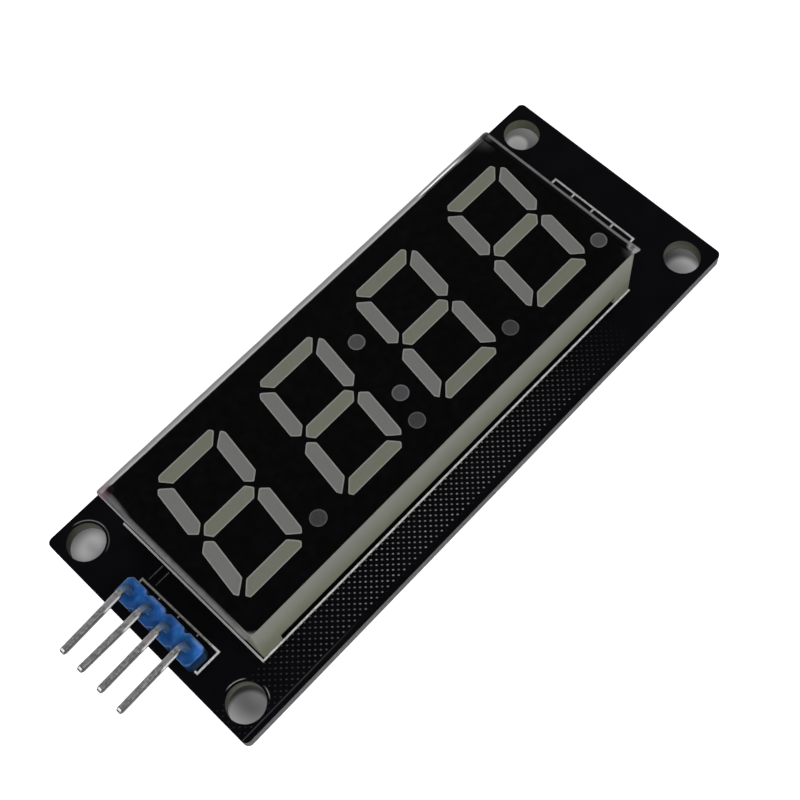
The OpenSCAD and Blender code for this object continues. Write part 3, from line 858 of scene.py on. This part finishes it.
def bent_pin(index, y, skew, tin):
    """Square wire: straight, round a quarter bend, and out to a rounded tip a little off line"""
    bm = bmesh.new()
    corners = [(-PIN_HALF, -PIN_HALF), (PIN_HALF, -PIN_HALF), (PIN_HALF, PIN_HALF), (-PIN_HALF, PIN_HALF)]
    verts = [bm.verts.new((STRIP.x + a * 0.55, y + b * 0.55, -1.6)) for a, b in corners]
    bm.faces.new(verts)
    round_corners(bm, verts, 0.06, 3)
    face = list(bm.faces)[0]
    for z, grow in ((-1.45, 0.85), (-1.1, 1.0), (PIN_LEVEL - PIN_BEND, 1.0)):
        face, new = longer(bm, face)
        reach = max(abs(v.co.x - STRIP.x) for v in new)
        for v in new:
            v.co.x = STRIP.x + (v.co.x - STRIP.x) * grow * PIN_HALF / reach
            v.co.y = y + (v.co.y - y) * grow * PIN_HALF / reach
            v.co.z = z
    made = bmesh.ops.spin(bm, geom=[face] + list(face.verts) + list(face.edges),
                          cent=(STRIP.x - PIN_BEND, y, PIN_LEVEL - PIN_BEND), axis=(0, -1, 0),
                          dvec=(0, 0, 0), angle=math.radians(90), steps=14)
    if face.is_valid:
        bmesh.ops.delete(bm, geom=[face], context="FACES_ONLY")
    face = next(f for f in made["geom_last"] if isinstance(f, bmesh.types.BMFace))
    for back, grow in ((0.34, 1.0), (0.2, 0.93), (0.08, 0.8), (0.0, 0.6)):
        face, new = longer(bm, face)
        reach = max(abs(v.co.y - y) for v in new)
        for v in new:
            v.co.x = PIN_END + back
            v.co.y = y + (v.co.y - y) * grow * PIN_HALF / reach
            v.co.z = PIN_LEVEL + (v.co.z - PIN_LEVEL) * grow * PIN_HALF / reach
    # each pin leans aside a little, and keeps the distance from its own middle for its finish
    at_bend, at_tip = skew
    aside = bm.verts.layers.float.new("aside")
    for v in bm.verts:
        v[aside] = v.co.y - y
        if v.co.z > BOARD_TOP:
            v.co.y += at_bend + (at_tip - at_bend) * max(0.0, STRIP.x - PIN_BEND - v.co.x) / 7.0
    outward(bm)
    finish_piece(f"bent_pin_{index}", bm, tin, (f"header_pin_{index}",))


# ------------------------------------------------------------------ solder

def joints(solder):
    """Concave fillets that climb each pin on the back"""
    for name, node, places, hole, pad, top, pin, height in (
            ("header_joints", "header_solder", [(STRIP.x, y) for y in PIN_ROWS_Y], 0.49, 0.84, 0.48, 0.33, 1.0),
            ("display_joints", "display_solder", DISPLAY_PINS, 0.44, 0.79, 0.33, 0.25, 0.9)):
        bm = bmesh.new()
        for x, y in places:
            profile = [(0.0, BOARD_TOP - 0.05), (hole, BOARD_TOP - 0.02), (hole, -PAD), (pad, -PAD)]
            for t in (0.15, 0.35, 0.55, 0.75, 0.9):
                profile.append((top + (pad - top) * (1 - t) ** 2.2, -PAD - (height - 0.08) * t))
            profile += [(top * 0.96, -height), (pin * 1.02, -height - 0.03), (0.0, -height + 0.02)]
            join(bm, turned(profile, (x, y), 28))
        finish_piece(name, bm, solder, (node,), smooth=True)


def surface_joints(solder):
    """Flat pads with a bead of solder at each foot and terminal"""
    bm = bmesh.new()
    for side in (-1, 1):
        for x in LEADS_X:
            y = DISPLAY.y + side * 4.75
            join(bm, block((x - 0.3, y - 0.65, -0.06), (x + 0.3, y + 0.65, 0.0), 0.028, 3))
            toe = y + side * 0.47
            join(bm, block((x - 0.24, toe - 0.12, -0.17), (x + 0.24, toe + 0.12, -0.02), 0.07, 3))
            heel = y - side * 0.52
            join(bm, block((x - 0.22, heel - 0.12, -0.2), (x + 0.22, heel + 0.12, -0.02), 0.08, 3))
    for cx, cy in CAPACITORS + RESISTORS:
        for side in (-1, 1):
            y = cy + side * 0.625
            join(bm, block((cx - 0.45, y - 0.35, -0.06), (cx + 0.45, y + 0.35, 0.0), 0.028, 3))
            end = cy + side * 0.86
            join(bm, block((cx - 0.36, end - 0.1, -0.28), (cx + 0.36, end + 0.1, -0.02), 0.08, 3))
    finish_piece("surface_joints", bm, solder, ("reflow_solder",))


# ------------------------------------------------------------------ driver chip and chip parts

def driver(epoxy, tin):
    bm = copy_of("driver_body")
    ease(bm, 0.07, 2, lambda edge: edge.calc_length() > 3.0)
    finish_piece("driver_package", bm, epoxy, ("driver_body",))
    bm = bmesh.new()
    knee_z, foot_z = -1.245, -0.16
    for side in (-1, 1):
        for x in LEADS_X:
            path = [(2.75, knee_z), (4.13, knee_z), (4.43, foot_z), (5.15, foot_z)]
            part = bmesh.new()
            verts = [part.verts.new((x - 0.2, DISPLAY.y + side * y, z)) for y, z in path]
            for pair in zip(verts, verts[1:]):
                part.edges.new(pair)
            round_corners(part, verts[1:3], 0.16, 4)
            made = bmesh.ops.extrude_edge_only(part, edges=list(part.edges))
            bmesh.ops.translate(part, vec=(0.4, 0, 0), verts=corners_of(made))
            outward(part)
            bmesh.ops.solidify(part, geom=list(part.faces), thickness=0.2)
            low = min(v.co.z for v in part.verts)
            bmesh.ops.translate(part, vec=(0, 0, (knee_z - 0.1) - low), verts=part.verts)
            outward(part)
            ease(part, 0.03, 2)
            join(bm, part)
    finish_piece("driver_gull_leads", bm, tin, ("driver_leads",))


def chip_parts(ceramic, glaze, tin):
    for kind, label, places, size, finish in (
            ("capacitor", "capacitor_ceramic", CAPACITORS, (0.8, 1.6, 0.8), ceramic),
            ("resistor", "resistor_glaze", RESISTORS, (0.8, 1.6, 0.5), glaze)):
        for k, (x, y) in enumerate(places):
            low, high = -0.06 - size[2], -0.06
            inner = size[1] / 2 - 0.35
            bm = block((x - 0.39, y - inner, low + 0.015), (x + 0.39, y + inner, high - 0.01), 0.05, 3)
            finish_piece(f"{kind}_chip_{k + 1}", bm, finish, (f"{kind}_{k + 1}",))
            bm = bmesh.new()
            for side in (-1, 1):
                y0, y1 = sorted((y + side * inner, y + side * size[1] / 2))
                join(bm, block((x - 0.4, y0, low), (x + 0.4, y1, high), 0.07, 3))
            finish_piece(f"{kind}_ends_{k + 1}", bm, tin, (f"{kind}_{k + 1}_terminals",))


def dress_inner():
    """Finishes for the solids that keep their own shape"""
    looks = {
        "display_substrate": plain_finish("green_laminate", tone(34, 84, 48), tone(44, 98, 58), 0.4, 1.5, 0.02),
        "potting_resin": plain_finish("cast_resin", tone(186, 184, 166), tone(200, 198, 182), 0.22, 3.0, 0.02),
        "display_pins": metal_finish("tinned_round_pins", grey(208), grey(176), 0.24, (1.0, 1.0, 0.15)),
        "led_dice": plain_finish("led_die", tone(150, 160, 178), tone(176, 184, 196), 0.25, 0.1, 0.004),
    }
    for node, material in looks.items():
        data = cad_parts[node].data
        data.materials.clear()
        data.materials.append(material)


# ------------------------------------------------------------------ stage, light and camera

# each hole, the offset of the spot of floor that shows through it, the offset of the lit patch in it,
# where that patch starts to fade and ends, its level, the level round it, and an extra glow in it
HOLE_LIGHT = [((-30.65, 11.0), (0.08, 1.01), (0.23, 0.94), 0.6, 2.1, 0.93, 0.28, 0.0),
              ((-30.65, -11.0), (0.08, 0.62), (-0.3, 0.1), 1.75, 2.25, 0.48, 0.1, 0.0),
              ((30.65, -11.0), (1.17, 0.62), (0.46, -0.17), 1.4, 2.25, 0.64, 0.17, 0.05),
              ((30.65, 11.0), (1.17, 1.01), (0.66, 1.19), 0.85, 1.4, 0.77, 0.31, 0.05)]
# the board's shade on the floor: its middle and half its size
SHADE_X, SHADE_Y = 1.25, 1.15
SHADE_HALF_L, SHADE_HALF_W = 34.3, 14.2
AIM = Vector((6.41, -1.82, FACE))
CAMERA_AZIMUTH, CAMERA_ELEVATION, CAMERA_ROLL = -43.37, 64.29, -3.81
CAMERA_DISTANCE = 138.8
CAMERA_LENS, CAMERA_SHIFT = 66.32, (-0.0646, -0.0918)
# each lamp's azimuth, elevation, size in metres and watts
LAMPS = {"key": (-62, 47, (0.36, 0.3), 1.9),
         "front_fill": (20, 42, (0.36, 0.3), 1.0),
         "back_fill": (160, 30, (0.5, 0.2), 0.6)}
LAMP_DISTANCE = 0.6


def floor():
    bm = bmesh.new()
    bmesh.ops.create_grid(bm, x_segments=8, y_segments=8, size=1.2)
    bmesh.ops.translate(bm, vec=(0, 0, REST_Z * MM), verts=bm.verts)
    mesh = bpy.data.meshes.new("floor")
    bm.to_mesh(mesh)
    bm.free()
    ground = bpy.data.objects.new("floor", mesh)
    scene.collection.objects.link(ground)
    f = Finish("pale_floor", (0.9, 0.9, 0.9, 1), 0.8, gloss=0.1)
    f.shader.inputs["Emission Color"].default_value = (1, 1, 1, 1)
    under_x = f.minus(f.size(f.minus(f.x, SHADE_X)), SHADE_HALF_L)
    under_y = f.minus(f.size(f.minus(f.y, SHADE_Y)), SHADE_HALF_W)
    under = f.most(under_x, under_y)
    open_air = f.step(under, -1.3, 0.0)
    level = f.step(under, -1.8, 0.0, 0.22, 0.9)
    # what shows through the four holes: a patch of light and the shade round it
    glow = 0.0
    for (x, y), (see_x, see_y), (lit_x, lit_y), near, far, bright, dim, extra in HOLE_LIGHT:
        from_lit = f.away(f.minus(f.x, x + lit_x), f.minus(f.y, y + lit_y))
        below = f.step(f.away(f.minus(f.x, x + see_x), f.minus(f.y, y + see_y)), 2.2, 1.98)
        level = f.mix_value(below, level, f.step(from_lit, near, far, bright, dim))
        glow = f.mix_value(below, glow, f.step(from_lit, near, far, extra, 0.0))
        open_air = f.times(open_air, f.minus(1.0, below))
    f.colour(level)
    f.feed(f.shader.inputs["Emission Strength"],
           f.times(f.seen(), f.plus(f.times(open_air, 0.65), glow)))
    # seen from below, the floor lets the underside show
    f.feed(f.shader.inputs["Alpha"], f.minus(1.0, f.add("NewGeometry").outputs["Backfacing"]))
    mesh.materials.append(f.material)


def studio():
    """White walls up to eye height, a dark ceiling above them"""
    world = bpy.data.worlds.new("studio")
    scene.world = world
    world.use_nodes = True
    n = Nodes(world.node_tree)
    n.tree.nodes.clear()
    height = n.add("SeparateXYZ", {"Vector": n.add("TexCoord").outputs["Generated"]}).outputs["Z"]
    light = n.step(height, 0.15, 0.55, 0.64, 0.24)
    # the walls look white where they are seen, and the metal and the film show them so too
    extra = n.times(n.seen(), n.step(height, 0.15, 0.3, 0.37, 0.0))
    background = n.add("Background", {"Color": (1, 1, 1, 1), "Strength": n.plus(light, extra)})
    n.add("OutputWorld", {"Surface": background.outputs[0]})


def direction(azimuth, elevation):
    """Points from the object towards a place round it; azimuth 0 is the front"""
    a, e = math.radians(azimuth), math.radians(elevation)
    return Vector((math.sin(a) * math.cos(e), -math.cos(a) * math.cos(e), math.sin(e)))


def lamp(name, azimuth, elevation, size, watts):
    light = bpy.data.lights.new(name, "AREA")
    light.shape = "RECTANGLE"
    light.size, light.size_y = size
    light.energy = watts
    holder = bpy.data.objects.new(name, light)
    towards = direction(azimuth, elevation)
    holder.location = towards * LAMP_DISTANCE
    holder.rotation_euler = towards.to_track_quat("Z", "Y").to_euler()
    scene.collection.objects.link(holder)


def camera():
    back = direction(CAMERA_AZIMUTH, CAMERA_ELEVATION)
    turn = back.to_track_quat("Z", "Y") @ Quaternion((0, 0, 1), math.radians(CAMERA_ROLL))
    data = bpy.data.cameras.new("camera")
    data.sensor_width = 36
    data.lens = CAMERA_LENS
    data.shift_x, data.shift_y = CAMERA_SHIFT
    data.clip_start = 0.005
    view = bpy.data.objects.new("camera", data)
    view.location = AIM * MM + back * CAMERA_DISTANCE * MM
    view.rotation_euler = turn.to_euler()
    scene.collection.objects.link(view)
    scene.camera = view


camera()
dress_board()
white = print_finish()
tin = metal_finish("tin_plate", grey(206), grey(140), 0.34, (0.3, 1.0, 1.0))
solder = metal_finish("solder", grey(206), grey(182), 0.2)
screen_print(white)
pads_and_tracks(solder, plain_finish("mask_over_copper", grey(20), grey(30), 0.3, 1.0, 0.01, gloss=0.4))
housing()
windows(window_finish("segment_resin", tone(112, 112, 111), tone(146, 147, 141), tone(111, 113, 99)),
        window_finish("dot_resin", tone(56, 56, 58), grey(82), grey(44), 0.6),
        window_finish("pale_dot_resin", tone(72, 71, 75), grey(106), grey(62), 0.5))
film()
pin_strip(strip_finish())
wire = pin_finish()
for number, row_y in enumerate(PIN_ROWS_Y):
    bent_pin(number + 1, row_y, PIN_SKEWS[number], wire)
joints(solder)
surface_joints(solder)
driver(plain_finish("moulded_epoxy", grey(30), grey(38), 0.62, 0.8, 0.012, gloss=0.4), tin)
chip_parts(plain_finish("brown_ceramic", tone(158, 126, 94), tone(172, 140, 106), 0.5, 0.3, 0.006),
           plain_finish("black_glaze", grey(20), grey(30), 0.25, 0.3, 0.004), tin)
dress_inner()

floor()
studio()
for lamp_name, placing in LAMPS.items():
    lamp(lamp_name, *placing)
scene.view_settings.view_transform = "Standard"
